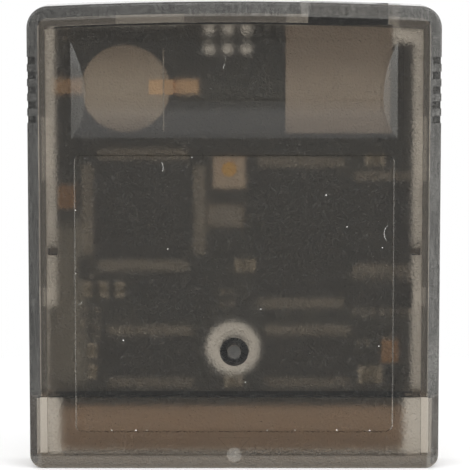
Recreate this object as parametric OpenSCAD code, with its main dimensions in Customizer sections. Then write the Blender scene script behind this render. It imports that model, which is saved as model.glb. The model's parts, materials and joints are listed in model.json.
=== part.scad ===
// Flash cartridge for a handheld console: a smoke-clear case in two parts around a circuit board
// with edge contacts, a memory card in its socket, a backup cell and chips. Lengths in millimetres.
// Each piece is drawn with the case lying on its back: x runs across, y from the contact edge up to
// the card edge, and z from the back face to the label face. upright() stands it on its contact edge.

/* [Case] */
// Width over the side walls
case_w = 57; // [56:0.5:60]
// Height from the contact edge to the middle of the card edge
case_h = 65; // [64.5:0.5:68]
// Thickness from the back face to the label face
case_t = 7.8; // [7.8:0.1:8.6]
// Rise of the arched card edge from its ends to its middle
top_rise = 0.8; // [0.4:0.1:1.4]
// Corner radius at the card edge
top_corner = 3; // [2:0.1:4]
// Corner radius at the contact edge
foot_corner = 1.8; // [1.4:0.1:2.4]
// Rounding of the outer edges
edge_round = 0.4; // [0.2:0.1:0.6]
// Thickness of the label face
face_wall = 1.2; // [1:0.1:1.4]
// Thickness of the back plate
back_wall = 1.2; // [1:0.1:1.4]
// Side wall of the front shell
side_wall = 1.45; // [1.1:0.05:1.5]
// Wall of the front shell at the card edge
top_wall = 1.7; // [1.6:0.1:2]
// Side wall of the front shell beside the contacts
recess_wall = 0.95; // [0.8:0.05:1.2]
// Height of the recess behind the contacts, where the back shell ends
recess_h = 9.8; // [9:0.1:10.4]
// Height of the lip below the board
lip_h = 1.7; // [1.2:0.1:2]
// Height of the back shell's outer walls above the back face
split_z = 3; // [2.4:0.1:3.4]

/* [Tongue of the back shell] */
// Thickness of the tongue that fits inside the front shell
tongue_t = 1; // [0.8:0.05:1.1]
// Height of the tongue above the split
tongue_rise = 1.8; // [1:0.1:2.2]
// Clearance between the tongue and the front shell
tongue_gap = 0.15; // [0.05:0.05:0.25]

/* [Thumb recess] */
// Width across the label face
scoop_w = 45; // [40:0.5:46]
// Deepest line below the middle of the card edge
scoop_drop = 13.4; // [13:0.1:14]
// Reach above the deepest line
scoop_up = 7.9; // [7:0.1:8.2]
// Reach below the deepest line
scoop_down = 5.4; // [5:0.1:6]
// Depth at the deepest line
scoop_depth = 0.95; // [0.6:0.05:1]
// Inward slant of its end walls
scoop_slant = 1.9; // [1:0.1:2.5]
// Plastic left behind the deepest line
scoop_wall = 0.65; // [0.55:0.05:0.7]
// Plastic left there over the cell
cell_wall = 0.45; // [0.4:0.05:0.5]

/* [Label recess] */
// Width
label_w = 44.2; // [40:0.1:46]
// Lower edge above the contact edge
label_y = 5.1; // [5:0.1:6]
// Land between the label recess and the thumb recess
label_gap = 2.3; // [2:0.1:4]
// Corner radius
label_corner = 1; // [0.5:0.1:2]
// Depth
label_depth = 0.3; // [0.1:0.05:0.4]
// Outward lean of its walls
label_lean = 0.15; // [0.05:0.05:0.3]

/* [Arrow, gate mark and grip] */
// Width of the insertion arrow
arrow_w = 4.5; // [3:0.5:6]
// Length of the insertion arrow
arrow_h = 2.5; // [2:0.1:3]
// Depth of the insertion arrow
arrow_depth = 0.2; // [0.1:0.05:0.3]
// Diameter of the round dimple of the gate
gate_d = 2.3; // [2:0.1:2.6]
// Depth of the dimple
gate_depth = 0.45; // [0.3:0.05:0.6]
// Number of grip notches on each side
notch_n = 5; // [3:1:6]
// Pitch of the grip notches
notch_pitch = 2.03; // [1.6:0.01:2.2]
// Height of one notch
notch_h = 1; // [0.6:0.1:1.1]
// Width of a notch across the label face
notch_w = 1.2; // [0.8:0.1:1.2]
// Highest notch below the middle of the card edge
notch_drop = 8.1; // [7:0.1:10]

/* [Board] */
// Gap between the board and the tongue of the back shell at each side
board_side_gap = 1.05; // [1:0.05:1.4]
// Gap between the board and the tongue at the card edge
board_top_gap = 0.14; // [0.1:0.02:0.5]
// Height of the board's contact edge above the contact edge of the case
board_low = 2; // [1.9:0.1:2.8]
// Thickness of the board
board_t = 1; // [0.8:0.1:1]
// Step from the left side of the board in to its contact tongue
board_step_left = 0.4; // [0.15:0.05:1.1]
// Step from the right side of the board in to its contact tongue
board_step_right = 1; // [0.15:0.05:1.1]
// Pitch of the edge contacts
contact_pitch = 1.5; // [1.4:0.05:1.6]
// Width of an edge contact
contact_w = 1; // [0.8:0.05:1.1]
// Length of an edge contact
contact_l = 6; // [4:0.5:6.5]

/* [Screw] */
// Height of the screw above the contact edge
screw_y = 16.3; // [16:0.1:17]
// Diameter of the screw's shank
screw_d = 1.9; // [1.6:0.1:2.2]
// Diameter of the screw's head
screw_head_d = 4; // [3.6:0.1:4.4]
// Diameter of the boss in the front shell
boss_d = 4; // [3.8:0.1:4.6]

/* [Cell and card] */
// Diameter of the backup cell
cell_d = 12.5; // [12:0.1:12.6]
// Thickness of the backup cell
cell_t = 1.6; // [1.2:0.1:1.6]
// Width of the memory card
card_w = 11; // [11:0.1:11.2]
// Length of the memory card
card_l = 15; // [14.8:0.1:15]
// Thickness of the memory card
card_t = 0.7; // [0.6:0.05:0.7]
// End of the card below the middle of the card edge
card_inset = 0.35; // [0.2:0.05:0.5]
// Width of the socket beside the card, where the detect spring lies
spring_bay = 3.1; // [3:0.05:3.3]
// Width of the board's cut corner beside the socket
corner_w = 2.9; // [2.8:0.05:3]
// Height of the card socket above the board
socket_t = 1.4; // [1.4:0.05:1.5]

/* [Hidden] */

$fn = 48;
// Facets of the very flat arch of the card edge
arch_fn = 720;
// Overshoot of a cut past the surface that it opens
over = 1;
// Clearance of parts that slide past each other
slide = 0.1;

// Case: radius and centre height of the arch
arch_r = (pow(case_w / 2, 2) + pow(top_rise, 2)) / (2 * top_rise);
arch_y = case_h - arch_r;
inner_half = case_w / 2 - side_wall;
inner_side = inner_half - tongue_gap - tongue_t;
inner_top = top_wall + tongue_gap + tongue_t;
inner_corner = 1.5;
tongue_corner = 0.6;
// Recess beside the contacts: half width and the seam below the back shell
recess_half = case_w / 2 - recess_wall;
back_foot = recess_h + slide;
cross_wall_t = 0.9;
// Ledges of the back shell that carry the board: width, and outer face inside the board's edge
ledge_w = 0.8;
ledge_in = 1.6;

// Depths of the board
board_rear = 3.3;
board_z = board_rear + board_t;
lip_z = board_z + 0.5;
face_in = case_t - face_wall;
tongue_z = split_z + tongue_rise;

// Outline of the board, with a shoulder at the left above its contact tongue
board_w = 2 * (inner_side - board_side_gap);
shoulder_w = board_side_gap - 0.15;
shoulder_top = 22.5;
board_top = arch_y + sqrt(pow(arch_r - inner_top, 2) - pow(board_w / 2, 2)) - board_top_gap;
board_tongue_w = board_w - board_step_left - board_step_right;
board_tongue_x = (board_step_left - board_step_right) / 2;
contact_n = floor((board_tongue_w - contact_w) / contact_pitch) + 1;

// Thumb recess, with the depths of the plastic behind it, and label recess
scoop_y = case_h - scoop_drop;
scoop_floor = case_t - scoop_depth;
bulge_z = scoop_floor - scoop_wall;
cell_pocket_z = scoop_floor - cell_wall;
label_h = scoop_y - scoop_down - label_gap - label_y;
notch_top = case_h - notch_drop;

// Corner of the board cut away beside the card socket, and the post that stands in it
corner_cut_x = board_w / 2 - corner_w;
corner_cut_y = board_top - 2.2;
post_x = corner_cut_x + 0.95;
post_y0 = corner_cut_y + 1.6;
post_y1 = post_y0 + 1.1;

// Card, its socket and its slot through the card edge
socket_wall = 0.6;
socket_sheet = 0.18;
socket_x1 = corner_cut_x - 0.15;
socket_x0 = socket_x1 - socket_wall - card_w - spring_bay;
card_x = socket_x1 - socket_wall - card_w / 2;
card_y0 = case_h - card_inset - card_l;
card_bottom = board_z + 0.45;
socket_rear = 3.05;
socket_y0 = card_y0 - socket_rear;
socket_l = board_top + 0.3 - socket_y0;
slot_x0 = card_x - card_w / 2 - 1.1;
slot_x1 = card_x + card_w / 2 + 1.6;
card_pads = 8;
card_pad_pitch = 1.1;
function card_pad_x(i) = card_x + (i - (card_pads - 1) / 2) * card_pad_pitch;

// Cell and its straps, from the left edge of the board
tab_t = 0.1;
tab_w = 2.1;
tab_reach = 3.5;
pad_t = 0.05;
cell_x = board_w / 2 - slide - tab_reach - cell_d / 2;
cell_y = board_top - 2.2 - cell_d / 2;
cell_z = board_z + pad_t + tab_t;
strap_y = cell_y + 0.25;
// Edge of the pocket over the cell, inside the cell's right edge
cell_pocket_inset = 0.9;

// Tongue gaps: along the sides, and along the card edge
side_gaps = [[22.2, 25.1], [39.9, 49]];
top_gaps = [[-cell_x - 1.4, -cell_x + 8.1], [slot_x0 - 1.9, slot_x0]];

// Lugs of both shells above and in the notches of the board: middle, height and reach from the tongue
lug_y = 30.4;
lug_h = 1;
lug_reach = 1.4;

// Screw, its boss and its well
boss_foot = 1.9;
well_floor = 0.9;
head_t = 0.75;
boss_hole_d = 7.4;
boss_hole = [-0.15, screw_y + 0.2];

// Two rows of three header holes: pitch, diameter, and place of the lower middle one
header_pitch = 2.54;
header_d = 1.4;
header_x = -0.87;
header_y = board_top - 2.9;

// Chips: width and length of their bodies, height above the board, thickness, and where leads leave them
logic_w = 14;
flash_w = 12;
flash_l = 18.4;
save_w = 8;
save_l = 11.8;
clock_w = 8.6;
clock_l = 3.9;
clock_pitch = 1.27;
buffer_w = 12.5;
buffer_l = 6.1;
work_w = 8;
work_l = 6;
transistor_w = 1.4;
standoff = 0.1;
chip_t = 1.1;
clock_t = 1.3;
buffer_t = 0.95;
transistor_t = 1;
lead_t = 0.13;
function lead_z(body_t) = standoff + (body_t + lead_t) / 2;
fine_pitch = 0.5;
fine_lead_w = 0.26;
logic_lead = 1.5;
flash_lead = 1.3;
save_lead = 1.1;
clock_lead = 1.05;
buffer_lead = 1.2;
work_ball_h = 0.2;
chip_black = [0.13, 0.13, 0.13];
tin = [0.78, 0.77, 0.73];

// Parts with a lid, and small parts with end caps
oscillator_w = 4.7;
oscillator_base_t = 0.8;
oscillator_lid_t = 0.25;
oscillator_rim = 0.25;
seal_d = 2;
seal_t = 1.1;
crystal_w = 5;
crystal_l = 3.2;
crystal_base_t = 0.35;
crystal_can_t = 0.55;
crystal_rim = 0.25;
tantalum_l = 3.3;
tantalum_w = 2.6;
tantalum_t = 1.6;
end_cap = 0.4;
ceramic_t = 1;
resistor_l = 1.6;
resistor_w = 0.8;
resistor_t = 0.45;
resistor_end = 0.3;

// Middles of the chips and small parts, drawn for a board of layout_w with its socket at layout_y1.
// place() spreads them with the board's width, and above layout_y0 with the height of its socket.
layout_w = 49.7;
layout_y0 = 20;
layout_y1 = 46.6;
function place(at) = [
  at[0] * board_w / layout_w,
  min(at[1], layout_y0) + max(at[1] - layout_y0, 0) * (socket_y0 - layout_y0) / (layout_y1 - layout_y0)
];
logic_at = place([-12.6, 36]);
flash_at = place([9.3, 32.8]);
save_at = place([20.55, 34.3]);
clock_at = place([20.6, 24.2]);
buffer_left_at = place([-11.65, 15.4]);
buffer_right_at = place([10.25, 15.4]);
work_at = place([-8.4, 23.9]);
transistor_at = place([-20.95, 27.8]);
oscillator_at = place([-0.7, 41.3]);
crystal_at = place([-1.2, 35.2]);

// Small parts keep their distance from the chip that they serve.
// Tantalum capacitors: middle and turn
tantalums = [[logic_at + [-10.6, 1.9], 90], [buffer_right_at + [11.5, 0.9], 90]];
// Ceramic capacitors: middle, length, width and turn
ceramics = [
  [flash_at + [-7.75, -4.5], 2.8, 1.9, 0], [buffer_right_at + [8.75, -2.5], 3.2, 2.5, 0],
  [[-0.1, screw_y - 4.4], 2.4, 1.6, 0], [save_at + [-1.05, 8.7], 2.6, 1.6, 0],
  for (x = [-12.1, -9.8, -7.5]) [work_at + [x, 1], 2, 1.25, 90],
  for (y = [-2.1, 0.9]) [buffer_left_at + [-8.15, y], 2, 1.25, 90]
];
// Chip resistors: middle and turn
resistors = [
  [buffer_right_at + [7.65, 1.9], 0], [[1.65 - board_w / 2, board_top - 0.9], 90],
  for (x = [-12.5, -10.8], y = [-5, -2.7]) [work_at + [x, y], 90],
  for (y = [-1, 0.6]) [work_at + [7.4, y], 0]
];

module upright() {
  translate([0, case_t / 2, 0]) rotate([90, 0, 0]) children();
}

// Copies mirrored to both sides of the middle line
module both_sides() {
  for (side = [0, 1]) mirror([side, 0, 0]) children();
}

// Centred across x, y and standing on z = 0
module block(size) {
  translate([-size[0] / 2, -size[1] / 2, 0]) cube(size);
}

// Box between two corners
module span(a, b) {
  translate(a) cube(b - a);
}

// Prism along y of a profile drawn in x and z
module along_y(y0, y1) {
  translate([0, y1, 0]) rotate([90, 0, 0]) linear_extrude(y1 - y0) children();
}

// Prism along x of a profile drawn in y and z
module along_x(x0, x1) {
  translate([x0, 0, 0]) rotate([90, 0, 90]) linear_extrude(x1 - x0) children();
}

// Half section of a round plate with its upper edge rounded
module puck_section(r, t, f) {
  square([r - f, t]);
  square([r, t - f]);
  translate([r - f, t - f]) circle(f);
}

// Section from x0 to x1 with both upper corners rounded
module plate_section(x0, x1, t, f) {
  translate([x0, 0]) square([x1 - x0, t - f]);
  translate([x0 + f, 0]) square([x1 - x0 - 2 * f, t]);
  for (x = [x0 + f, x1 - f]) translate([x, t - f]) circle(f);
}

// Corner of a plate: what lies outside a round plate of radius r around a point
module corner_waste(at, turn, r, t, f) {
  translate([at[0], at[1], 0]) rotate([0, 0, turn]) difference() {
    translate([0, 0, -over]) cube([r + over, r + over, t + 2 * over]);
    translate([0, 0, -2 * over]) cylinder(r = r - f, h = t + 4 * over);
    rotate_extrude() puck_section(r, t, f);
    translate([0, 0, -2 * over]) cylinder(r = r, h = 2 * over);
  }
}

// Whole case as one block from z = 0 to t: arched card edge, four round corners, rounded upper edge
module case_block(t, f) {
  half = case_w / 2;
  top_y = arch_y + sqrt(pow(arch_r - top_corner, 2) - pow(half - top_corner, 2));
  difference() {
    intersection() {
      along_y(0, case_h + over) plate_section(-half, half, t, f);
      along_x(-half - over, half + over) plate_section(0, case_h + 2 * over, t, f);
      translate([0, arch_y, 0]) rotate_extrude($fn = arch_fn) puck_section(arch_r, t, f);
    }
    both_sides() {
      corner_waste([half - top_corner, top_y], 0, top_corner, t, f);
      corner_waste([half - foot_corner, foot_corner], -90, foot_corner, t, f);
    }
  }
}

// Outline of the case, moved in by a side and a top inset, above height low
module inner_outline(side, top, low, corner) {
  half = case_w / 2 - side;
  arch = arch_r - top;
  top_y = arch_y + sqrt(pow(arch - corner, 2) - pow(half - corner, 2));
  difference() {
    intersection() {
      translate([0, arch_y]) circle(arch, $fn = arch_fn);
      translate([-half, low]) square([2 * half, case_h]);
    }
    both_sides() translate([half - corner, top_y]) difference() {
      square(corner + over);
      circle(corner);
    }
  }
}

module round_rect(w, h, r) {
  translate([-w / 2, r]) square([w, h - 2 * r]);
  translate([r - w / 2, 0]) square([w - 2 * r, h]);
  both_sides() for (y = [r, h - r]) translate([w / 2 - r, y]) circle(r);
}

// Side section of the thumb recess: a long arc above the deepest line and a short one below it
module scoop_section() {
  for (arc = [[scoop_up, 0], [scoop_down, -1]]) {
    reach = arc[0];
    r = (pow(reach, 2) + pow(scoop_depth, 2)) / (2 * scoop_depth);
    intersection() {
      translate([scoop_y, scoop_floor + r]) circle(r, $fn = 360);
      translate([scoop_y + arc[1] * reach, scoop_floor - over])
        square([reach, scoop_depth + 2 * over]);
    }
  }
}

module scoop() {
  slope = scoop_slant / scoop_depth;
  half = scoop_w / 2;
  intersection() {
    along_x(-half - 2 * over, half + 2 * over) scoop_section();
    along_y(scoop_y - scoop_down - over, scoop_y + scoop_up + over) polygon([
      [-half - slope * over, case_t + over], [half + slope * over, case_t + over],
      [half - slope * (scoop_depth + over / 4), scoop_floor - over / 4],
      [-half + slope * (scoop_depth + over / 4), scoop_floor - over / 4]
    ]);
  }
}

// Plastic behind the thumb recess, with a shallower pocket over the cell
module scoop_backing() {
  low = scoop_y - scoop_down;
  high = scoop_y + scoop_up;
  half = scoop_w / 2 + 0.8;
  pocket_x1 = -cell_x + cell_d / 2 - cell_pocket_inset;
  difference() {
    along_x(-half, half) polygon([
      [low - 0.6, face_in + 0.1], [low - 0.6, face_in], [low + 2.2, bulge_z],
      [high - 2.6, bulge_z], [high + 0.5, face_in], [high + 0.5, face_in + 0.1]
    ]);
    along_y(low, high) polygon([
      [-half - over, bulge_z - over], [pocket_x1 + over, bulge_z - over],
      [pocket_x1 - (cell_pocket_z - bulge_z), cell_pocket_z], [-half - over, cell_pocket_z]
    ]);
  }
}

module notches() {
  side_cut = 0.1;
  both_sides() for (i = [0 : notch_n - 1]) {
    y = notch_top - i * notch_pitch;
    span([case_w / 2 - notch_w, y - notch_h / 2, case_t - 0.55],
         [case_w / 2 + over, y + notch_h / 2, case_t + over]);
    span([case_w / 2 - side_cut, y - notch_h / 2, split_z + 0.6],
         [case_w / 2 + over, y + notch_h / 2, case_t]);
  }
}

// Label recess with leaning walls: two wide prisms and a cone in each corner
module label_recess() {
  lean = label_lean / label_depth;
  deep = case_t - label_depth;
  top = case_t + over;
  spread = lean * (label_depth + over);
  x = label_w / 2 - label_lean;
  r = label_corner;
  y0 = label_y + label_lean;
  y1 = label_y + label_h - label_lean;
  along_y(y0 + r, y1 - r) polygon([[-x, deep], [x, deep], [x + spread, top], [-x - spread, top]]);
  along_x(r - x, x - r) polygon([[y0, deep], [y1, deep], [y1 + spread, top], [y0 - spread, top]]);
  for (at = [[r - x, y0 + r], [x - r, y0 + r], [r - x, y1 - r], [x - r, y1 - r]])
    translate([at[0], at[1], deep]) cylinder(r1 = r, r2 = r + spread, h = label_depth + over);
}

module arrow_and_gate() {
  top = lip_h + 0.1 + arrow_h;
  translate([0, 0, case_t - arrow_depth]) linear_extrude(arrow_depth + over)
    polygon([[-arrow_w / 2, top], [arrow_w / 2, top], [0, top - arrow_h]]);
  difference() {
    translate([0, lip_h + 0.1, case_t - gate_depth]) cylinder(d = gate_d, h = gate_depth + over);
    translate([0, lip_h + 0.1, case_t - gate_depth - over]) cylinder(d = gate_d * 0.4, h = over + 0.15);
  }
}

module front_shell() {
  color([0.4, 0.39, 0.36, 0.5]) upright() difference() {
    union() {
      difference() {
        case_block(case_t, edge_round);
        // Room for the back shell
        span([-case_w, recess_h, -over], [case_w, case_h + over, split_z]);
        // Room inside the face and the walls
        translate([0, 0, split_z - over]) linear_extrude(face_in - split_z + over)
          inner_outline(side_wall, top_wall, recess_h - over, inner_corner);
        // Recess behind the contacts
        span([-recess_half, -over, -over], [recess_half, recess_h, lip_z]);
        span([-recess_half, lip_h, lip_z - over], [recess_half, recess_h, face_in]);
      }
      scoop_backing();
      // Rib from side to side that holds the board down, left clear of the tongue beside it
      span([-inner_half - 0.1, back_foot, tongue_z + slide],
           [inner_half + 0.1, back_foot + cross_wall_t, face_in + 0.1]);
      span([-board_w / 2, back_foot, board_z + slide / 2],
           [board_w / 2, back_foot + cross_wall_t, tongue_z + slide + 0.1]);
      // Lugs above the notches of the board
      both_sides() span([inner_side - lug_reach + slide, lug_y - lug_h / 2, board_z + slide / 2],
                        [inner_side - slide, lug_y + lug_h / 2, face_in + 0.1]);
      // Screw boss
      translate([0, screw_y, boss_foot]) cylinder(d = boss_d, h = face_in + 0.1 - boss_foot);
    }
    scoop();
    label_recess();
    notches();
    arrow_and_gate();
    // Pilot hole of the screw
    translate([0, screw_y, boss_foot - over]) cylinder(d = screw_d, h = over + 4);
    // Card slot
    span([slot_x0, case_h - top_wall - 2, card_bottom - 0.25],
         [slot_x1, case_h + over, card_bottom + card_t + 0.55]);
  }
}

// Wall of the back shell that reaches up inside the front shell
module tongue() {
  translate([0, 0, split_z - 0.1]) linear_extrude(tongue_rise + 0.1) difference() {
    inner_outline(side_wall + tongue_gap, top_wall + tongue_gap, back_foot, inner_corner - 0.1);
    inner_outline(case_w / 2 - inner_side, inner_top, back_foot + cross_wall_t, tongue_corner);
    // Gaps along the sides and the card edge
    both_sides() for (gap = side_gaps)
      translate([inner_side - 0.5, gap[0]]) square([tongue_t + 1, gap[1] - gap[0]]);
    for (gap = top_gaps)
      translate([gap[0], case_h - inner_top - 1]) square([gap[1] - gap[0], inner_top]);
    // Way in for the card
    translate([slot_x0, case_h - inner_top - 1]) square([slot_x1 - slot_x0, inner_top]);
    // Room for the board where it passes the lower wall
    translate([-board_w / 2 - 0.1, 0]) square([board_w + 0.2, back_foot + 2]);
  }
}

module back_shell() {
  color([0.38, 0.37, 0.34, 0.5]) upright() difference() {
    union() {
      difference() {
        translate([0, 0, split_z]) mirror([0, 0, 1]) case_block(split_z, edge_round);
        span([-case_w, -over, -over], [case_w, back_foot, split_z + over]);
        translate([0, 0, back_wall]) linear_extrude(split_z)
          inner_outline(case_w / 2 - inner_side, inner_top, back_foot + cross_wall_t, tongue_corner);
      }
      tongue();
      // Lower wall under the board
      span([-board_w / 2 - 0.2, back_foot, back_wall - 0.1],
           [board_w / 2 + 0.2, back_foot + cross_wall_t, board_rear]);
      // Lugs in the notches of the board, and ledges that carry it
      both_sides() {
        span([inner_side - lug_reach, lug_y - lug_h / 2, back_wall - 0.1],
             [inner_side + 0.1, lug_y + lug_h / 2, board_z]);
        span([board_w / 2 - ledge_in - ledge_w, back_foot + cross_wall_t - 0.1, back_wall - 0.1],
             [board_w / 2 - ledge_in, corner_cut_y - 2, board_rear]);
      }
      // Post in the cut corner of the board
      span([post_x, post_y0, back_wall - 0.1], [inner_side + 0.3, post_y1, tongue_z]);
      // Raised floor of the screw well
      translate([0, screw_y, back_wall - 0.1]) cylinder(d = boss_d + 2.4, h = boss_foot - back_wall + 0.1);
    }
    // Screw well and clearance hole
    translate([0, screw_y, -over]) cylinder(d = screw_head_d + 0.5, h = well_floor + over);
    translate([0, screw_y, 0]) cylinder(d = screw_d + 0.3, h = boss_foot + over);
  }
}

module housing_screw() {
  shank_l = 5;
  color("silver") upright() translate([0, screw_y, well_floor]) difference() {
    union() {
      translate([0, 0, -head_t]) cylinder(d = screw_head_d, h = head_t);
      cylinder(d = screw_d, h = shank_l - 0.6);
      translate([0, 0, shank_l - 0.6]) cylinder(d1 = screw_d, d2 = screw_d * 0.8, h = 0.6);
    }
    // Cross drive
    for (turn = [0, 90]) rotate([0, 0, turn])
      translate([0, 0, -head_t - over]) block([2.1, 0.5, over + 0.5]);
  }
}

module board_outline() {
  difference() {
    union() {
      intersection() {
        translate([-board_w / 2, back_foot + 0.3]) square([board_w, case_h]);
        translate([0, arch_y]) circle(arch_r - inner_top - board_top_gap, $fn = arch_fn);
      }
      translate([board_tongue_x - board_tongue_w / 2, board_low]) square([board_tongue_w, recess_h]);
      translate([-board_w / 2 - shoulder_w, back_foot + cross_wall_t + slide])
        square([shoulder_w + 1, shoulder_top - back_foot - cross_wall_t]);
    }
    // Cut corner beside the card socket
    translate([corner_cut_x, corner_cut_y]) square(board_w);
    // Notches for the lugs of the back shell
    both_sides() translate([inner_side - lug_reach - slide, lug_y - lug_h / 2 - slide])
      square([board_w, lug_h + 2 * slide]);
    translate(boss_hole) circle(d = boss_hole_d);
    // Two rows of header holes
    for (column = [-1 : 1], row = [0, 1])
      translate([header_x + column * header_pitch, header_y + row * header_pitch])
        circle(d = header_d, $fn = 24);
    // Bevelled corners of the contact tongue
    for (side = [-1, 1]) translate([board_tongue_x + side * board_tongue_w / 2, board_low])
      rotate(45) square(1, center = true);
  }
}

module circuit_board() {
  color([0.12, 0.13, 0.12]) upright() translate([0, 0, board_rear]) linear_extrude(board_t) board_outline();
}

module edge_contacts() {
  color("goldenrod") upright() for (i = [0 : contact_n - 1])
    translate([board_tongue_x + (i - (contact_n - 1) / 2) * contact_pitch - contact_w / 2,
               board_low + 0.4, board_rear - pad_t]) cube([contact_w, contact_l - 0.4, pad_t]);
}

// Gold pads at the ends of the tabs of the cell
module solder_pads() {
  color("goldenrod") upright()
    for (x = [-cell_x - cell_d / 2 - tab_reach + 0.9, -cell_x + cell_d / 2 + tab_reach - 0.8])
      translate([x, strap_y, board_z]) block([tab_w, tab_w, pad_t]);
}

// Coin cell: the can with its rolled edge, and the smaller cap below it
module battery_cell() {
  cap_t = 0.25;
  f = 0.25;
  color("lightgray") upright() translate([-cell_x, cell_y, cell_z]) rotate_extrude($fn = 96) {
    square([cell_d * 0.42, cell_t - 0.1]);
    translate([0, cap_t]) square([cell_d / 2 - f, cell_t - cap_t]);
    translate([0, cap_t + f]) square([cell_d / 2, cell_t - cap_t - 2 * f]);
    for (z = [cap_t + f, cell_t - f]) translate([cell_d / 2 - f, z]) circle(f);
  }
}

// Strap from the can over its edge and down to the pad on its right
module battery_tab_positive() {
  step = -cell_x + cell_d / 2 + 0.3;
  top = cell_z + cell_t;
  foot = board_z + pad_t;
  run = 0.5;
  color("silver") upright() along_y(strap_y - tab_w / 2, strap_y + tab_w / 2) polygon([
    [step - 3.3, top], [step - 3.3, top + tab_t], [step, top + tab_t],
    [step + run, foot + tab_t], [step + tab_reach, foot + tab_t],
    [step + tab_reach, foot], [step + run - tab_t, foot], [step - tab_t, top]
  ]);
}

// Strap from under the cap to the pad on its left
module battery_tab_negative() {
  color("silver") upright() span(
    [-cell_x - cell_d / 2 - tab_reach, strap_y - tab_w / 2, board_z + pad_t],
    [-cell_x - 2, strap_y + tab_w / 2, board_z + pad_t + tab_t]);
}

// Moulded socket body: floor with windows for the contacts, side walls and rear block
module card_socket_base() {
  floor_t = 0.3;
  wall_top = board_z + socket_t - socket_sheet;
  color([0.1, 0.1, 0.1]) upright() difference() {
    span([socket_x0 + socket_sheet, socket_y0 + socket_sheet, board_z],
         [socket_x1 - socket_sheet, socket_y0 + socket_l, wall_top]);
    // Bay of the card
    span([card_x - card_w / 2 - slide, card_y0 - slide, board_z + floor_t],
         [card_x + card_w / 2 + slide, case_h, wall_top + over]);
    // Bay of the detect spring
    span([socket_x0 + 1, socket_y0 + 5, board_z + floor_t],
         [card_x - card_w / 2 - 0.5, socket_y0 + 13, wall_top + over]);
    // Windows of the contacts
    for (i = [0 : card_pads - 1]) translate([card_pad_x(i), card_y0 + 3.4, board_z - over])
      block([0.7, 3.6, over + floor_t + 0.1]);
  }
}

// Folded steel cover: top plate, and flanges down both sides and the rear
module card_socket_cover() {
  top = board_z + socket_t;
  color("lightgray") upright() difference() {
    span([socket_x0, socket_y0, board_z], [socket_x1, socket_y0 + socket_l, top]);
    span([socket_x0 + socket_sheet, socket_y0 + socket_sheet, board_z - over],
         [socket_x1 - socket_sheet, socket_y0 + socket_l + over, top - socket_sheet]);
    // Slots that leave solder feet on the flanges
    for (x = [socket_x0, socket_x1], y = [3.5, 9]) translate([x, socket_y0 + y, board_z - over])
      block([2, 2.4, over + 0.5]);
  }
}

// Bent contact fingers in the windows of the floor, each with a tail on the board
module card_socket_contacts() {
  z1 = card_bottom - pad_t;
  color("gold") upright() for (i = [0 : card_pads - 1])
    translate([card_pad_x(i), 0, 0]) along_x(-0.2, 0.2) polygon([
      [card_y0 + 1.8, board_z], [card_y0 + 5, board_z], [card_y0 + 5, board_z + 0.1],
      [card_y0 + 2.6, z1], [card_y0 + 2.3, z1], [card_y0 + 2.3, z1 - 0.1], [card_y0 + 4.2, board_z + 0.1],
      [card_y0 + 1.8, board_z + 0.1]
    ]);
}

// Two blades that feel whether a card is in
module card_detect_spring() {
  x = socket_x0 + 1.2;
  z = board_z + 0.3;
  color("gold") upright() {
    span([x, socket_y0 + 5.2, z], [x + 0.15, socket_y0 + 12.8, z + 0.7]);
    span([x + 0.9, socket_y0 + 5.2, z], [x + 1.05, socket_y0 + 10.5, z + 0.7]);
  }
}

// Memory card: body with a notch in its right side, slanted corner and raised lip at the outer end
module memory_card() {
  color([0.08, 0.08, 0.08]) upright() translate([card_x - card_w / 2, card_y0, card_bottom]) {
    linear_extrude(card_t) polygon([
      [0, 0], [card_w - 1.3, 0], [card_w - 1.3, 6.4], [card_w - 0.7, 7], [card_w - 0.7, 7.7],
      [card_w - 1.3, 7.7], [card_w - 1.3, 8.3], [card_w, 9.6], [card_w, card_l], [0, card_l]
    ]);
    translate([0.8, card_l - 0.9, card_t - 0.1]) cube([card_w - 1.6, 0.9, 0.35]);
  }
}

module memory_card_contacts() {
  color("gold") upright() for (i = [0 : card_pads - 1])
    translate([card_pad_x(i), card_y0 + 2.4, card_bottom - pad_t]) block([0.8, 2.6, pad_t]);
}

// Moulded chip body with drafted sides and a dimple at pin 1
module chip_body(w, l, h, dimple) {
  draft = 0.12;
  module section(s) {
    polygon([[draft - s / 2, 0], [s / 2 - draft, 0], [s / 2, h / 2], [s / 2 - draft, h],
             [draft - s / 2, h], [-s / 2, h / 2]]);
  }
  difference() {
    intersection() {
      along_y(-l, l) section(w);
      along_x(-w, w) section(l);
    }
    translate([dimple * (1.1 - w / 2), dimple * (l / 2 - 1.1), h - 0.06])
      cylinder(d = 0.9, h = over, $fn = 24);
  }
}

// Gull-wing lead from a body side at x = 0 to the foot at x = reach
module gull_lead(reach, shoulder_z, w) {
  along_y(-w / 2, w / 2) polygon([
    [0, shoulder_z], [reach * 0.28, shoulder_z], [reach * 0.5, lead_t], [reach, lead_t], [reach, 0],
    [reach * 0.42, 0], [reach * 0.2, shoulder_z - lead_t], [0, shoulder_z - lead_t]
  ]);
}

// Row of leads along one side, d from the middle
module lead_row(n, pitch, d, reach, shoulder_z, w) {
  for (i = [0 : n - 1]) translate([d, (i - (n - 1) / 2) * pitch, 0]) gull_lead(reach, shoulder_z, w);
}

// Rows on opposite sides, turned from the x axis
module lead_rows(turns, n, pitch, d, reach, shoulder_z, w) {
  for (turn = turns) rotate([0, 0, turn]) lead_row(n, pitch, d, reach, shoulder_z, w);
}

module on_board(at) {
  upright() translate([at[0], at[1], board_z]) children();
}

module logic_chip_body() {
  color(chip_black) on_board(logic_at) translate([0, 0, standoff]) chip_body(logic_w, logic_w, chip_t, 1);
}

module logic_chip_leads() {
  color(tin) on_board(logic_at)
    lead_rows([0, 90, 180, 270], 25, fine_pitch, logic_w / 2, logic_lead, lead_z(chip_t), fine_lead_w);
}

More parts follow.
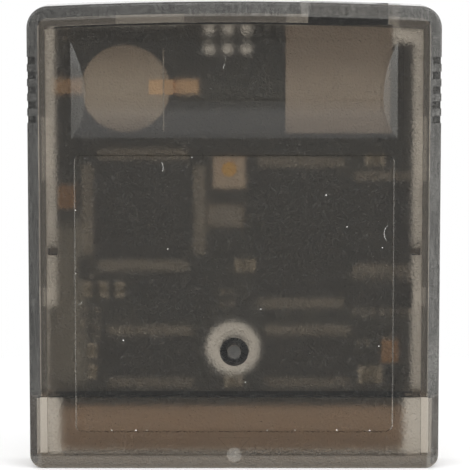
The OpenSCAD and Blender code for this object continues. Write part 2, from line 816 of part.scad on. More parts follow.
module flash_memory_body() {
  color(chip_black) on_board(flash_at) translate([0, 0, standoff]) chip_body(flash_w, flash_l, chip_t, 1);
}

module flash_memory_leads() {
  color(tin) on_board(flash_at)
    lead_rows([90, 270], 24, fine_pitch, flash_l / 2, flash_lead, lead_z(chip_t), fine_lead_w);
}

module save_memory_body() {
  color(chip_black) on_board(save_at) translate([0, 0, standoff]) chip_body(save_w, save_l, chip_t, 1);
}

module save_memory_leads() {
  color(tin) on_board(save_at)
    lead_rows([90, 270], 16, fine_pitch, save_l / 2, save_lead, lead_z(chip_t), fine_lead_w);
}

module clock_chip_body() {
  color(chip_black) on_board(clock_at) translate([0, 0, standoff])
    chip_body(clock_w, clock_l, clock_t, 1);
}

module clock_chip_leads() {
  color(tin) on_board(clock_at)
    lead_rows([90, 270], 7, clock_pitch, clock_l / 2, clock_lead, lead_z(clock_t), 0.4);
}

module buffer_body() {
  translate([0, 0, standoff]) chip_body(buffer_w, buffer_l, buffer_t, 1);
}

module buffer_leads() {
  lead_rows([90, 270], 24, fine_pitch, buffer_l / 2, buffer_lead, lead_z(buffer_t), fine_lead_w);
}

module bus_buffer_left_body() {
  color(chip_black) on_board(buffer_left_at) buffer_body();
}

module bus_buffer_left_leads() {
  color(tin) on_board(buffer_left_at) buffer_leads();
}

module bus_buffer_right_body() {
  color(chip_black) on_board(buffer_right_at) buffer_body();
}

module bus_buffer_right_leads() {
  color(tin) on_board(buffer_right_at) buffer_leads();
}

module work_memory_body() {
  color(chip_black) on_board(work_at) translate([0, 0, work_ball_h]) difference() {
    block([work_w, work_l, 0.8]);
    translate([0.7 - work_w / 2, work_l / 2 - 0.7, 0.74]) cylinder(d = 0.5, h = over, $fn = 24);
  }
}

module work_memory_balls() {
  color(tin) on_board(work_at) for (column = [0 : 7], row = [0 : 5])
    translate([(column - 3.5) * 0.75, (row - 2.5) * 0.75, 0]) cylinder(d = 0.35, h = work_ball_h, $fn = 16);
}

module transistor_body() {
  color(chip_black) on_board(transistor_at)
    translate([0, 0, standoff]) chip_body(transistor_w, 2.9, transistor_t, 0);
}

module transistor_leads() {
  color(tin) on_board(transistor_at) {
    for (y = [-0.95, 0.95]) translate([transistor_w / 2, y, 0]) gull_lead(0.55, lead_z(transistor_t), 0.4);
    rotate([0, 0, 180]) translate([transistor_w / 2, 0, 0]) gull_lead(0.55, lead_z(transistor_t), 0.4);
  }
}

module oscillator_base() {
  color([0.75, 0.7, 0.6]) on_board(oscillator_at) block([oscillator_w, oscillator_w, oscillator_base_t]);
}

module oscillator_lid() {
  color("lightgray") on_board(oscillator_at) translate([0, 0, oscillator_base_t])
    block([oscillator_w - 2 * oscillator_rim, oscillator_w - 2 * oscillator_rim, oscillator_lid_t]);
}

module oscillator_seal() {
  color("goldenrod") on_board(oscillator_at) translate([0, 0.5, oscillator_base_t + oscillator_lid_t])
    cylinder(d = seal_d, h = seal_t);
}

module crystal_base() {
  color([0.6, 0.55, 0.45]) on_board(crystal_at) block([crystal_w, crystal_l, crystal_base_t]);
}

module crystal_can() {
  color("lightgray") on_board(crystal_at) translate([0, crystal_rim - crystal_l / 2, crystal_base_t])
    linear_extrude(crystal_can_t) round_rect(crystal_w - 2 * crystal_rim, crystal_l - 2 * crystal_rim, 0.5);
}

// Moulded body of a tantalum capacitor between its two folded ends
module tantalum_capacitor_bodies() {
  color([0.8, 0.5, 0.2]) for (c = tantalums) on_board(c[0]) rotate([0, 0, c[1]])
    translate([0, 0, 0.12]) chip_body(tantalum_l, tantalum_w, tantalum_t, 0);
}

module tantalum_capacitor_ends() {
  t = 0.1;
  end = tantalum_l / 2;
  color(tin) for (c = tantalums) on_board(c[0]) rotate([0, 0, c[1]]) both_sides()
    along_y(0.2 - tantalum_w / 2, tantalum_w / 2 - 0.2) polygon([
      [end, 0.92], [end + t, 0.92], [end + t, 0], [end - 0.75, 0], [end - 0.75, t], [end, t]
    ]);
}

module ceramic_capacitor_bodies() {
  color([0.62, 0.5, 0.38]) for (c = ceramics) on_board(c[0]) rotate([0, 0, c[3]])
    translate([0, 0, 0.05]) block([c[1] - 2 * end_cap, c[2] - 0.1, ceramic_t - 0.1]);
}

module ceramic_capacitor_ends() {
  color(tin) for (c = ceramics) on_board(c[0]) rotate([0, 0, c[3]]) both_sides()
    translate([(c[1] - end_cap) / 2, 0, 0]) block([end_cap, c[2], ceramic_t]);
}

module resistor_bodies() {
  color(chip_black) for (c = resistors) on_board(c[0]) rotate([0, 0, c[1]])
    translate([0, 0, 0.03]) block([resistor_l - 2 * resistor_end, resistor_w, resistor_t - 0.06]);
}

module resistor_ends() {
  color(tin) for (c = resistors) on_board(c[0]) rotate([0, 0, c[1]]) both_sides()
    translate([(resistor_l - resistor_end) / 2, 0, 0]) block([resistor_end, resistor_w, resistor_t]);
}

front_shell();
back_shell();
housing_screw();
circuit_board();
edge_contacts();
solder_pads();
battery_cell();
battery_tab_positive();
battery_tab_negative();
card_socket_base();
card_socket_cover();
card_socket_contacts();
card_detect_spring();
memory_card();
memory_card_contacts();
logic_chip_body();
logic_chip_leads();
flash_memory_body();
flash_memory_leads();
save_memory_body();
save_memory_leads();
clock_chip_body();
clock_chip_leads();
bus_buffer_left_body();
bus_buffer_left_leads();
bus_buffer_right_body();
bus_buffer_right_leads();
work_memory_body();
work_memory_balls();
transistor_body();
transistor_leads();
oscillator_base();
oscillator_lid();
oscillator_seal();
crystal_base();
crystal_can();
tantalum_capacitor_bodies();
tantalum_capacitor_ends();
ceramic_capacitor_bodies();
ceramic_capacitor_ends();
resistor_bodies();
resistor_ends();
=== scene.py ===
import json
import math

import bpy
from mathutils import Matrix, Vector


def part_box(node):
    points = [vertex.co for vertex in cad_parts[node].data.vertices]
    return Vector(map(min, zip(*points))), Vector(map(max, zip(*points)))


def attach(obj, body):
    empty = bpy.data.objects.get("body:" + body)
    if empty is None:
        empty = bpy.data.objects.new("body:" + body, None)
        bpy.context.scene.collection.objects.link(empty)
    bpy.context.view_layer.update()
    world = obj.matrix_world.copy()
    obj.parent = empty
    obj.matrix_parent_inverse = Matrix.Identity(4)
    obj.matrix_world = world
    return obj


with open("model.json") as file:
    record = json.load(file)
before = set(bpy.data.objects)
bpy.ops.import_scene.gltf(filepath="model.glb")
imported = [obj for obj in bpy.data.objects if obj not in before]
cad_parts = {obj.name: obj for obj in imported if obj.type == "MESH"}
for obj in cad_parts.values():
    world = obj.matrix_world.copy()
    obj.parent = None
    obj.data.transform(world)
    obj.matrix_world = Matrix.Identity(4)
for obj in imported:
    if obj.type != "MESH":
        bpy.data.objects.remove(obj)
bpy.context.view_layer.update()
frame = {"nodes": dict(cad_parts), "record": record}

nodes = frame["nodes"]
mm = 0.001
print("frame loaded:", len(nodes), "nodes")


class Wire:
    # an output socket: sums on it add their Math nodes
    def __init__(self, finish, socket):
        self.finish, self.socket = finish, socket

    def math(self, operation, *values):
        return self.finish.node("ShaderNodeMath", {"operation": operation}, dict(enumerate(values)))

    def __add__(self, other):
        return self.math("ADD", self, other)

    def __radd__(self, other):
        return self.math("ADD", other, self)

    def __sub__(self, other):
        return self.math("SUBTRACT", self, other)

    def __rsub__(self, other):
        return self.math("SUBTRACT", other, self)

    def __mul__(self, other):
        return self.math("MULTIPLY", self, other)

    def __rmul__(self, other):
        return self.math("MULTIPLY", other, self)

    def __truediv__(self, other):
        return self.math("DIVIDE", self, other)

    def __abs__(self):
        return self.math("ABSOLUTE", self)

    def least(self, other):
        return self.math("MINIMUM", self, other)

    def most(self, other):
        return self.math("MAXIMUM", self, other)

    def root(self):
        return self.math("SQRT", self)

    def power(self, exponent):
        return self.math("POWER", self, exponent)

    def fraction(self):
        return self.math("FRACT", self)

    def ramp(self, low, high, toLow=0.0, toHigh=1.0):
        sockets = {"Value": self, "From Min": low, "From Max": high, "To Min": toLow, "To Max": toHigh}
        return self.finish.node("ShaderNodeMapRange", {"clamp": True}, sockets)

    def above(self, edge, soft):
        return self.ramp(edge - soft / 2, edge + soft / 2)

    def below(self, edge, soft):
        return 1 - self.above(edge, soft)

    def between(self, low, high, soft):
        return self.above(low, soft) * self.below(high, soft)


class Finish:
    # one material or world and its nodes
    def __init__(self, owner):
        owner.use_nodes = True
        self.owner, self.tree = owner, owner.node_tree
        self.tree.nodes.clear()

    def node(self, kind, settings=None, sockets=None, output=0):
        made = self.tree.nodes.new(kind)
        for name, value in (settings or {}).items():
            setattr(made, name, value)
        for name, value in (sockets or {}).items():
            if isinstance(value, Wire):
                self.tree.links.new(value.socket, made.inputs[name])
            else:
                made.inputs[name].default_value = value
        return Wire(self, made.outputs[output]) if made.outputs else made

    def outputs(self, wire, names):
        # several outputs of the node that a wire comes from
        return [Wire(self, wire.socket.node.outputs[name]) for name in names]

    def place(self):
        # where a point lies on the object, in millimetres: x across, y depth, z height
        point = self.node("ShaderNodeTexCoord", output="Object")
        inMm = self.node("ShaderNodeVectorMath", {"operation": "SCALE"}, {0: point, "Scale": 1 / mm})
        return inMm, self.outputs(self.node("ShaderNodeSeparateXYZ", None, {0: inMm}), "XYZ")

    def noise(self, point, scale, detail=2.0, roughness=0.5, stretch=None):
        if stretch:
            point = self.node("ShaderNodeMapping", None, {"Vector": point, "Scale": stretch})
        sockets = {"Vector": point, "Scale": scale, "Detail": detail, "Roughness": roughness}
        return self.node("ShaderNodeTexNoise", None, sockets)

    def mix(self, share, first, second):
        sockets = {"Factor": share, 6: colour(first), 7: colour(second)}
        return self.node("ShaderNodeMix", {"data_type": "RGBA"}, sockets, output=2)

    def blend(self, share, first, second):
        return self.node("ShaderNodeMixShader", None, {0: share, 1: first, 2: second})

    def bump(self, height, distance):
        sockets = {"Height": height, "Distance": distance * mm, "Strength": 1.0}
        return self.node("ShaderNodeBump", None, sockets)

    def principled(self, **sockets):
        named = {name.replace("_", " "): value for name, value in sockets.items()}
        return self.node("ShaderNodeBsdfPrincipled", None, named)

    def surface(self, shader, volume=None, end="ShaderNodeOutputMaterial"):
        sockets = {"Surface": shader}
        if volume:
            sockets["Volume"] = volume
        self.node(end, None, sockets)
        return self.owner


def colour(value):
    return value if isinstance(value, Wire) else (*value, 1.0)


def material(name):
    return Finish(bpy.data.materials.new(name))


view = {
    "tilt": 6.84,            # degrees down from level
    "distance": 0.3815,
    "aim": (0.00011, -0.0039, 0.0328),
    "lens": 211.4,
}


def makeCamera(v):
    data = bpy.data.cameras.new("camera")
    camera = bpy.data.objects.new("camera", data)
    bpy.context.scene.collection.objects.link(camera)
    tilt = math.radians(v["tilt"])
    away = Vector((0, -math.cos(tilt), math.sin(tilt))) * v["distance"]
    camera.location = Vector(v["aim"]) + away
    camera.rotation_euler = (math.pi / 2 - tilt, 0, 0)
    data.lens, data.sensor_width = v["lens"], 36
    data.clip_start, data.clip_end = 0.01, 20
    bpy.context.scene.camera = camera


makeCamera(view)
bpy.context.scene.view_settings.view_transform = "Standard"
print("camera placed")

# Smoke-clear plastic: polished outside, frosted inside; lengths in millimetres
smoke = {
    "frontTint": (0.77, 0.735, 0.66),
    "backTint": (1.0, 0.99, 0.97),
    "absorption": (0.334, 0.257, 0.18),
    "frontDensity": 700,     # per metre
    "backDensity": 100,
    "index": 1.49,           # of refraction
    "shade": 0.16,           # share of its light that a part under painted shade lets in
    "milk": (0.9, 0.88, 0.83),
    "polish": 0.04,
    "frost": 0.62,
    "grain": 3.5,            # grains of the frosting per mm
    "grainLift": 0.2,
    "grainLight": (0.1, 1.3),
    "sparks": 3.2,           # bright grains per mm
    "sparkFrom": (0.58, 0.74),
    "sparkLight": 4.0,
    "speckle": 0.03,         # share of white in the brightest specks of the outer face
    "speckleFrom": (0.5, 0.75),
    "haze": 0.023,           # light that the frosted inside throws back
    "faceOut": 2.88,         # the outer face lies farther from the middle plane than this
    "faceIn": 2.82,          # the frosted faces lie nearer to the middle plane than this
    "frostSide": 26.05,      # half width of the frosted field
    "frostTop": 61.85,       # its upper edge at the middle
    "frostFoot": 1.6,
    "frostSoft": 0.04,       # width over which an edge of the field fades
    "archBend": 0.00098,     # fall of the arched edge, per mm
    "rimSide": 26.87,        # the walls show as a rim outside this half width
    "rimTop": 63.0,
    "rimHaze": 0.078,        # painted light: milky share standing for the light gathered by the thick walls
    "rimSpread": (-27, 27),
    "rimLight": (0.68, 1.3),  # painted light: its share at the left and at the right, more at the right where the stronger lamp stands
    "rimLow": (10.5, 18),    # painted light: brighter stretch at the foot of the walls
    "rimLowLight": 0.2,
    "rimStreaks": (5.0, 5.0, 0.35),
}


# Painted light on the walls: a milky share, streaked, lighter at the right and at their foot
def rimOfWalls(f, point, grain, x, z, arch):
    s = smoke
    rim = abs(x).above(s["rimSide"], 0.08).most(arch.above(s["rimTop"], 0.1))
    streaks = f.noise(point, 1.0, 2.0, stretch=s["rimStreaks"]).ramp(0.3, 0.7, 0.7, 1.3)
    sides = x.ramp(*s["rimSpread"], *s["rimLight"])
    low = z.between(*s["rimLow"], 1.5) * s["rimLowLight"] + 1
    return rim * streaks * grain.ramp(0.3, 0.7, 0.75, 1.25) * sides * low


def smokedPlastic(name, tint, density, faceSign, details):
    s = smoke
    f = material(name)
    point, (x, y, z) = f.place()
    out = y * faceSign       # distance from the middle plane towards the outer face
    arch = z + x * x * s["archBend"]
    grain = f.noise(point, s["grain"], 1.0)
    sparks = f.noise(point, s["sparks"], 0.0).ramp(*s["sparkFrom"], 0, s["sparkLight"])
    specks = f.noise(point, s["grain"], 2.0).ramp(*s["speckleFrom"]) * out.above(s["faceOut"], 0.03)
    inside = (out.below(s["faceIn"], s["frostSoft"]) * abs(x).below(s["frostSide"], s["frostSoft"])
              * arch.below(s["frostTop"], s["frostSoft"]) * z.above(s["frostFoot"], s["frostSoft"]))
    rim = rimOfWalls(f, point, grain, x, z, arch)
    inside, rim, hazeAndHighlights, paintedShade = details(inside, rim, x, y, z)
    clear = f.principled(
        Base_Color=f.mix(paintedShade, tint, [part * s["shade"] for part in tint]),
        Roughness=inside * (s["frost"] - s["polish"]) + s["polish"],
        IOR=s["index"], Transmission_Weight=1.0, Normal=f.bump(grain * inside, s["grainLift"]))
    milk = f.node("ShaderNodeBsdfDiffuse", None, {"Color": colour(s["milk"])})
    frosting = inside * (grain.ramp(0.35, 0.65, *s["grainLight"]) + sparks) * s["haze"]
    # whitish share: frosting, specks, the walls' painted light and the details' painted highlights
    haze = specks * s["speckle"] + frosting + rim * s["rimHaze"] + hazeAndHighlights
    smoky = {"Color": colour(s["absorption"]), "Density": density}
    return f.surface(f.blend(haze, clear, milk), f.node("ShaderNodeVolumeAbsorption", None, smoky))


# Small moulded details of the front shell, by their places in millimetres, with the painted highlights and
# painted shade laid over them
front = {
    "faceY": -3.9,
    "sharp": 0.02,           # width over which a sharp edge fades
    "soft": 0.1,             # and a soft one
    "labelHalf": 22.1, "labelMiddle": 24.5, "labelReach": 19.4, "labelCorner": 1.0, "labelLean": 0.12,
    "labelDepth": 0.5,
    "labelWallHighlight": 0.14,       # painted highlight: milky share on the side walls of the label recess
    "scoopHalf": 22.5, "scoopSlope": 2.0, "scoopSpan": (46.0, 59.6), "scoopDepth": (0.02, 0.99),
    "scoopSkin": 0.05,       # reach on either side of an end wall
    "scoopEndHighlight": 0.055,       # painted highlight: milky share of the end walls of the thumb recess
    "scoopSides": (-22, 22), "scoopLight": (0.8, 1.3),
    "pocketX": -9.75, "pocketWidth": 0.2, "pocketFace": -2.4,
    "pocketEdgeHighlight": 0.6,       # painted highlight: milky share on the pocket's edge over the cell
    "gateZ": 1.8, "gateR": 1.02, "gateDepth": (0.03, 0.7), "gateMilk": 0.13,
    "lipTop": 1.76, "lipBack": -2.75, "lipHaze": 0.05,
    "footLine": (1.2, 2.5), "footHalf": 24.0, "footShade": 0.55,
    "arrowHalf": 2.4, "arrowSpan": (1.9, 4.45), "arrowDepth": (0.03, 0.17),
    "boreZ": 16.3, "boreR": 0.93, "boreFace": -3.6,
    "boreGlint": 0.05,        # painted glint over the tip of the screw
    "skin": 0.12,            # how near to its face a mark still shows
    "bandIn": 26.0, "bandOut": 26.87, "bandFoot": 10.8, "bandTop": (61.9, 63.25),
    "bandShade": 0.72,       # darker band over the tongue of the back shell
    "ribSpan": (9.9, 10.85), "ribHalf": 25.7, "ribShade": 0.6,
    "rimFoot": 10.2, "rimFootShade": 0.17,
    "notchIn": 27.2, "notchSpan": (47.0, 57.6), "notchDepth": (0.03, 0.6), "notchShade": 0.4,
    "topFace": 62.0,
    "slotSpan": (10.4, 21.2), "slotShade": 0.2,
    # painted light where the card slot ends
    "slotEnd": (9.2, 10.2), "slotLight": 0.05,
}


def disc(x, z, radius):
    return (x * x + z * z).root().below(radius, 0.06)


def labelWalls(d, x, z, proud):
    # the side walls of the label recess, fading out round its corners
    across = (abs(x) - (d["labelHalf"] - d["labelCorner"])).most(0)
    along = (abs(z - d["labelMiddle"]) - (d["labelReach"] - d["labelCorner"])).most(0)
    corner = (across * across + along * along).root()
    wall = corner.between(d["labelCorner"] - d["labelLean"], d["labelCorner"], d["sharp"])
    return wall * (across / corner).power(4) * proud.below(d["labelDepth"], d["sharp"])


def scoopEnds(d, x, z, proud):
    # the slanted end walls of the thumb recess, their painted highlight stronger at the right
    wall = abs(abs(x) + proud * d["scoopSlope"] - d["scoopHalf"]).below(d["scoopSkin"], d["sharp"])
    wall = wall * proud.between(*d["scoopDepth"], 0.01) * z.between(*d["scoopSpan"], d["soft"])
    return wall * x.ramp(*d["scoopSides"], *d["scoopLight"])


# a thin line where the painted highlight lies on the pocket's edge
def pocketEdgeHighlight(d, x, y, z):
    edge = abs(x - d["pocketX"]).below(d["pocketWidth"] / 2, d["sharp"])
    edge = edge * abs(y - d["pocketFace"]).below(d["skin"], d["sharp"])
    return edge * z.above(d["scoopSpan"][0], d["soft"])


def tongueBand(d, x, z):
    # where the tongue of the back shell stands behind the front shell's wall
    arch = z + x * x * smoke["archBend"]
    sides = (abs(x).between(d["bandIn"], d["bandOut"], 0.04) * z.above(d["bandFoot"], 0.05)
             * arch.below(d["bandTop"][1], 0.05))
    return sides.most(arch.between(*d["bandTop"], 0.05) * abs(x).below(d["bandOut"], 0.04))


def frontDetails(inside, rim, x, y, z):
    d = front
    proud = y - d["faceY"]   # depth below the label face
    sharp, soft = d["sharp"], d["soft"]
    gate = disc(x, z - d["gateZ"], d["gateR"]) * proud.between(*d["gateDepth"], sharp)
    # painted glint: a milky disc over the screw's tip
    boreGlintSpot = disc(x, z - d["boreZ"], d["boreR"]) * abs(y - d["boreFace"]).below(d["skin"], sharp)
    lip = z.below(d["lipTop"], sharp) * y.above(d["lipBack"], sharp)
    foot = z.between(*d["footLine"], 0.4) * abs(x).below(d["footHalf"], 0.5) * y.above(d["lipBack"], sharp)
    rib = (z.between(*d["ribSpan"], 0.06) * abs(x).below(d["ribHalf"], 0.3)
           * proud.below(d["labelDepth"], sharp))
    # painted shade: dark lines along the side walls of the arrow
    arrowWallShade = (abs(x).below(d["arrowHalf"], sharp) * z.between(*d["arrowSpan"], sharp)
             * proud.between(*d["arrowDepth"], 0.01))
    notch = (abs(x).above(d["notchIn"], sharp) * z.between(*d["notchSpan"], soft)
             * proud.between(*d["notchDepth"], sharp))
    top = z.above(d["topFace"], soft)
    slot = top * x.between(*d["slotSpan"], soft)
    slotEnd = top * x.between(*d["slotEnd"], soft)
    rim = (rim * (1 - z.below(d["rimFoot"], 0.5) * d["rimFootShade"]) * (1 - notch * d["notchShade"])
           * (1 - slot * d["slotShade"]))
    # haze of the plastic and lip, the whitish gate, painted highlights on recess walls, pocket edge and
    # screw tip, painted light at the slot end
    hazeAndHighlights = (labelWalls(d, x, z, proud) * d["labelWallHighlight"] + scoopEnds(d, x, z, proud) * d["scoopEndHighlight"]
             + pocketEdgeHighlight(d, x, y, z) * d["pocketEdgeHighlight"] + gate * d["gateMilk"] + boreGlintSpot * d["boreGlint"]
             + z.below(d["lipTop"], 0.2) * d["lipHaze"] + rim.least(1) * slotEnd * d["slotLight"])
    # painted shade: dark lines on the arrow's walls, and over the foot line, the tongue band and the rib
    paintedShade = arrowWallShade + foot * d["footShade"] + tongueBand(d, x, z) * d["bandShade"] + rib * d["ribShade"]
    return inside.most(lip), rim, hazeAndHighlights, paintedShade.least(1)


# Painted shade on the back shell: over its tongue inside the front shell and on its walls, blacker at the
# lugs
back = {
    "frontOf": 0.85,
    "tongueShade": 0.85,
    "wallIn": 26.95, "wallTop": 63.1,
    "wallShade": 0.6,
    "frost": 0.3,            # its inside is less frosted
    "lugHalf": 25.88, "lugZ": 30.4, "lugReach": 0.6, "lugShade": 0.3,
}


def backDetails(inside, rim, x, y, z):
    d = back
    tongue = y.below(d["frontOf"], 0.03)
    lug = tongue * abs(x).below(d["lugHalf"], 0.02) * abs(z - d["lugZ"]).below(d["lugReach"], 0.02)
    wall = abs(x).above(d["wallIn"], 0.1).most((z + x * x * smoke["archBend"]).above(d["wallTop"], 0.1))
    paintedShade = wall * d["wallShade"] + tongue * d["tongueShade"] + lug * d["lugShade"]
    return inside * d["frost"], rim, 0.0, paintedShade


# Opaque finishes: fine spots in their tone, gloss and height
spotting = {
    "spots": 3.0,            # per mm
    "spread": 0.15,          # of the roughness
    "lift": 0.004,
}


def spotted(f, spots, tone, rough, metal):
    rough = rough + (spots - 0.5) * spotting["spread"]
    shader = f.principled(
        Base_Color=tone, Metallic=metal, Roughness=rough, Normal=f.bump(spots, spotting["lift"]))
    return f.surface(shader)


def plainFinish(name, base, rough, metal=0.0, grain=0.1, scale=spotting["spots"]):
    f = material(name)
    point, _ = f.place()
    spots = f.noise(point, scale, 3.0, 0.6)
    darker = [part * (1 - grain) for part in base]
    lighter = [min(1, part * (1 + grain)) for part in base]
    return spotted(f, spots, f.mix(spots, darker, lighter), rough, metal)


# The crystal's can, which lies below the split height, is duller than the oscillator's lid
cans = {
    "lid": (0.74, 0.66, 0.6),
    "crystal": (0.33, 0.32, 0.315),
    "split": 38.0,
    "rough": 0.32,
}


def canFinish(name, c):
    f = material(name)
    point, (x, y, z) = f.place()
    tone = f.mix(z.above(c["split"], 0.1), c["crystal"], c["lid"])
    return spotted(f, f.noise(point, spotting["spots"], 3.0), tone, c["rough"], 1.0)


# Board: dark solder mask, bare laminate with the contacts showing through its foot
board = {
    "weave": 5.0,            # per mm
    "clouds": 0.35,
    "mask": (0.012, 0.016, 0.014),
    "maskPatch": (0.05, 0.052, 0.045),
    "bareTop": 8.3,
    "overPad": (1.0, 0.76, 0.59),
    "betweenPads": (0.88, 0.65, 0.5),
    "through": (0.85, 0.68, 0.52),
    "throughShare": 0.05,
    "contactPitch": 1.5,
    "contactHalf": 0.36,     # half a contact's share of the pitch
    "backlitSide": -20.8,       # painted light: a pale field beside the left edge, where light from behind comes through the board
    "backlitSpan": (11, 34),
    "backlitPaint": (0.52, 0.54, 0.54),
    "rough": 0.4,
    "lift": 0.003,
}


def boardFinish(name, b):
    f = material(name)
    point, (x, y, z) = f.place()
    low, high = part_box("edge_contacts")
    middle = (low[0] + high[0]) / 2 / mm
    bare = z.below(b["bareTop"], 0.1)
    weave = f.noise(point, b["weave"], 2.0)
    cloud = f.noise(point, b["clouds"], 3.0).ramp(0.45, 0.7)
    pads = abs(((x - middle) / b["contactPitch"]).fraction() - 0.5).below(b["contactHalf"], 0.1)
    backlitPaint = x.below(b["backlitSide"], 1.2) * z.between(*b["backlitSpan"], 2.5) * weave.ramp(0.3, 0.7, 0.7, 1.0)
    mask = f.mix(backlitPaint, f.mix(cloud, b["mask"], b["maskPatch"]), b["backlitPaint"])
    resin = f.mix(pads * weave.ramp(0.3, 0.7, 0.85, 1.0), b["betweenPads"], b["overPad"])
    outer = f.principled(
        Base_Color=f.mix(bare, mask, resin), Roughness=b["rough"], Normal=f.bump(weave, b["lift"]))
    through = f.node("ShaderNodeBsdfTranslucent", None, {"Color": colour(b["through"])})
    return f.surface(f.blend(bare * b["throughShare"], outer, through))


finishes = {
    "front_shell_plastic": smokedPlastic(
        "frontShellPlastic", smoke["frontTint"], smoke["frontDensity"], -1, frontDetails),
    "back_shell_plastic": smokedPlastic(
        "backShellPlastic", smoke["backTint"], smoke["backDensity"], 1, backDetails),
    "screw_steel": plainFinish("screwSteel", (0.95, 0.94, 0.9), 0.5, 0.5),
    "board_laminate": boardFinish("boardLaminate", board),
    "gold_plating": plainFinish("goldPlating", (1.0, 0.62, 0.16), 0.25, 1.0, 0.05),
    "cell_steel": plainFinish("cellSteel", (0.5, 0.45, 0.415), 0.3, 1.0, 0.04),
    "strap_nickel": plainFinish("strapNickel", (0.84, 0.6, 0.4), 0.3, 1.0),
    "socket_plastic": plainFinish("socketPlastic", (0.03, 0.03, 0.03), 0.5),
    "socket_steel": plainFinish("socketSteel", (0.58, 0.53, 0.51), 0.35, 1.0, 0.04),
    "card_plastic": plainFinish("cardPlastic", (0.012, 0.012, 0.013), 0.42),
    "chip_moulding": plainFinish("chipMoulding", (0.018, 0.018, 0.018), 0.55),
    "tinned_metal": plainFinish("tinnedMetal", (0.8, 0.77, 0.73), 0.5, 0.8),
    "oscillator_ceramic": plainFinish("oscillatorCeramic", (0.55, 0.46, 0.36), 0.5),
    "can_metal": canFinish("canMetal", cans),
    "tantalum_resin": plainFinish("tantalumResin", (0.62, 0.36, 0.16), 0.45),
    "capacitor_ceramic": plainFinish("capacitorCeramic", (0.3, 0.27, 0.2), 0.5),
    "resistor_film": plainFinish("resistorFilm", (0.02, 0.02, 0.022), 0.4),
}
for part in frame["record"]["subparts"]:
    piece = nodes[part["node"]]
    piece.data.materials.clear()
    piece.data.materials.append(finishes[part["material_slot"]])
print("finishes made:", len(finishes))

# Dust on the outside: specks and fibres by height and place across, in millimetres
dust = {
    "colour": (0.8, 0.79, 0.76),
    "rough": 0.9,
    "spots": 20.0,           # per mm
    "speckSize": 0.11,
    "specks": (
        (-20.6, 43.4), (-5.8, 43.55), (-21.95, 36.2), (-21.97, 27.4), (20.1, 17.2), (1.55, 12.1),
        (-17.1, 5.3), (-13.7, 5.3), (-12.2, 5.35), (4.6, 5.3), (8.5, 5.3), (14.3, 5.35), (18.9, 5.3),
        (20.5, 31.0), (12.7, 38.3), (-9.2, 30.8), (3.7, 22.4), (-15.4, 18.0), (15.6, 33.9),
    ),
    "speckLeast": 0.7,       # share of the full size
    "speckRough": 0.25,
    "speckFlat": 0.6,
    "recessY": -3.6,
    "fibreR": 0.022,
    "fibres": (
        # start, then steps to the side and up
        ((-1.5, -3.27, 55.8), ((0.1, 0.35), (0.14, 0.35), (0.05, 0.4), (0.0, 0.35), (-0.06, 0.3))),
        ((-9.9, -3.6, 41.6), ((0.08, 0.3), (0.02, 0.35), (-0.08, 0.35), (-0.12, 0.3))),
        ((21.1, -3.6, 32.0), ((-0.25, 0.35), (-0.1, 0.45), (0.02, 0.5), (0.18, 0.45), (0.3, 0.35))),
        ((-21.9, -3.6, 22.9), ((0.3, 0.08), (0.3, 0.16), (0.22, 0.3))),
    ),
}


def selectOnly(*pieces):
    bpy.ops.object.select_all(action="DESELECT")
    for piece in pieces:
        piece.select_set(True)
    if pieces:
        bpy.context.view_layer.objects.active = pieces[0]


def finishDust(pieces, name, d):
    # one piece at the origin with its place in its mesh
    selectOnly(*pieces)
    bpy.ops.object.join()
    piece = pieces[0]
    piece.name = piece.data.name = name
    bpy.ops.object.transform_apply(location=True, rotation=True, scale=True)
    bpy.ops.object.mode_set(mode="EDIT")
    bpy.ops.mesh.select_all(action="SELECT")
    bpy.ops.mesh.normals_make_consistent(inside=False)
    bpy.ops.object.mode_set(mode="OBJECT")
    piece.data.materials.clear()
    piece.data.materials.append(plainFinish(name + "Finish", d["colour"], d["rough"], scale=d["spots"]))
    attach(piece, "root")


def makeSpecks(d):
    made = []
    for number, (x, z) in enumerate(d["specks"]):
        size = d["speckSize"] * (d["speckLeast"] + (1 - d["speckLeast"]) * (number * 7 % 5) / 4)
        selectOnly()
        bpy.ops.mesh.primitive_ico_sphere_add(
            subdivisions=2, radius=size * mm, location=(x * mm, d["recessY"] * mm, z * mm))
        bpy.ops.object.mode_set(mode="EDIT")
        bpy.ops.transform.vertex_random(offset=size * mm * d["speckRough"], seed=number)
        bpy.ops.transform.resize(value=(1.0, d["speckFlat"], 0.75 + 0.1 * (number % 4)))
        bpy.ops.object.mode_set(mode="OBJECT")
        made.append(bpy.context.object)
    finishDust(made, "dustSpecks", d)


def makeFibres(d):
    made = []
    for start, steps in d["fibres"]:
        selectOnly()
        bpy.ops.mesh.primitive_circle_add(
            vertices=6, radius=d["fibreR"] * mm, fill_type="NGON", location=[part * mm for part in start])
        bpy.ops.object.mode_set(mode="EDIT")
        for side, up in steps:
            bpy.ops.mesh.extrude_region_move(TRANSFORM_OT_translate={"value": (side * mm, 0, up * mm)})
        bpy.ops.object.mode_set(mode="OBJECT")
        made.append(bpy.context.object)
    finishDust(made, "lintFibres", d)


makeSpecks(dust)
makeFibres(dust)
print("dust made")

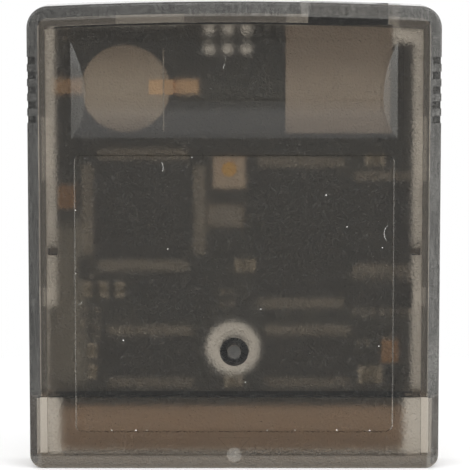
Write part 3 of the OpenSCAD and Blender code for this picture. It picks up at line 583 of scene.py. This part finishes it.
studio = {
    "floorSize": 8.0,
    "floorGap": 0.02,        # mm under the object
    "floorRough": 0.9,
    "floorColour": (0.8, 0.8, 0.79),
    "floorInGloss": (0.63, 0.63, 0.62),
    "white": (1.0, 1.0, 1.0),
    "whiteFrom": 28.0,       # distance in mm past which the floor starts to show white
    "whiteTo": 100.0,
    "horizon": (1.0, 1.0, 1.0),
    "zenith": (0.8, 0.8, 0.8),
    "zenithFrom": (0.45, 0.9),
    "frontGlow": (1.65, 1.65, 1.65),
    "glowHeight": (0.12, 0.55),
    "glowDepth": -0.4,
    "lamps": ((-0.75, 4.0), (0.75, 5.8)),    # place across in metres, watts
    "lampPlace": (-0.35, 0.3),               # depth and height in metres
    "lampSize": 1.2,
    "lampAim": (0, 0, 0.03),
}


def makeSky(s):
    world = bpy.data.worlds.new("studio")
    bpy.context.scene.world = world
    f = Finish(world)
    way = f.node("ShaderNodeTexCoord", output="Generated")
    depth, up = f.outputs(f.node("ShaderNodeSeparateXYZ", None, {0: way}), "YZ")
    sky = f.mix(up.ramp(*s["zenithFrom"]), s["horizon"], s["zenith"])
    inFront = up.between(*s["glowHeight"], 0.12) * depth.below(s["glowDepth"], 0.4)
    glowing = {"Color": f.mix(inFront, sky, s["frontGlow"]), "Strength": 1.0}
    f.surface(f.node("ShaderNodeBackground", None, glowing), end="ShaderNodeOutputWorld")


def makeFloor(s):
    selectOnly()
    bpy.ops.mesh.primitive_plane_add(size=s["floorSize"], location=(0, 0, -s["floorGap"] * mm))
    floor = bpy.context.object
    floor.name = "floor"
    f = material("floorPaper")
    point, (x, y, z) = f.place()
    rays = ("Is Camera Ray", "Is Transmission Ray", "Is Glossy Ray")
    straight, through, gloss = f.outputs(f.node("ShaderNodeLightPath"), rays)
    seen = straight.most(through)
    paper = f.mix(seen, s["floorColour"], s["white"])
    paper = f.mix(gloss * (1 - seen), paper, s["floorInGloss"])
    far = (x * x + y * y).root().ramp(s["whiteFrom"], s["whiteTo"]) * seen
    sheet = f.principled(Base_Color=paper, Roughness=s["floorRough"], Specular_IOR_Level=0.0)
    glow = f.node("ShaderNodeEmission", None, {"Color": colour(s["white"]), "Strength": 1.0})
    floor.data.materials.append(f.surface(f.blend(far, sheet, glow)))


def makeLamps(s):
    for across, watts in s["lamps"]:
        lamp = bpy.data.lights.new("sideLamp", "AREA")
        lamp.energy, lamp.size = watts, s["lampSize"]
        holder = bpy.data.objects.new("sideLamp", lamp)
        bpy.context.scene.collection.objects.link(holder)
        spot = Vector((across, *s["lampPlace"]))
        holder.location = spot
        holder.rotation_euler = (Vector(s["lampAim"]) - spot).to_track_quat("-Z", "Y").to_euler()


makeSky(studio)
makeFloor(studio)
makeLamps(studio)
print("studio made")
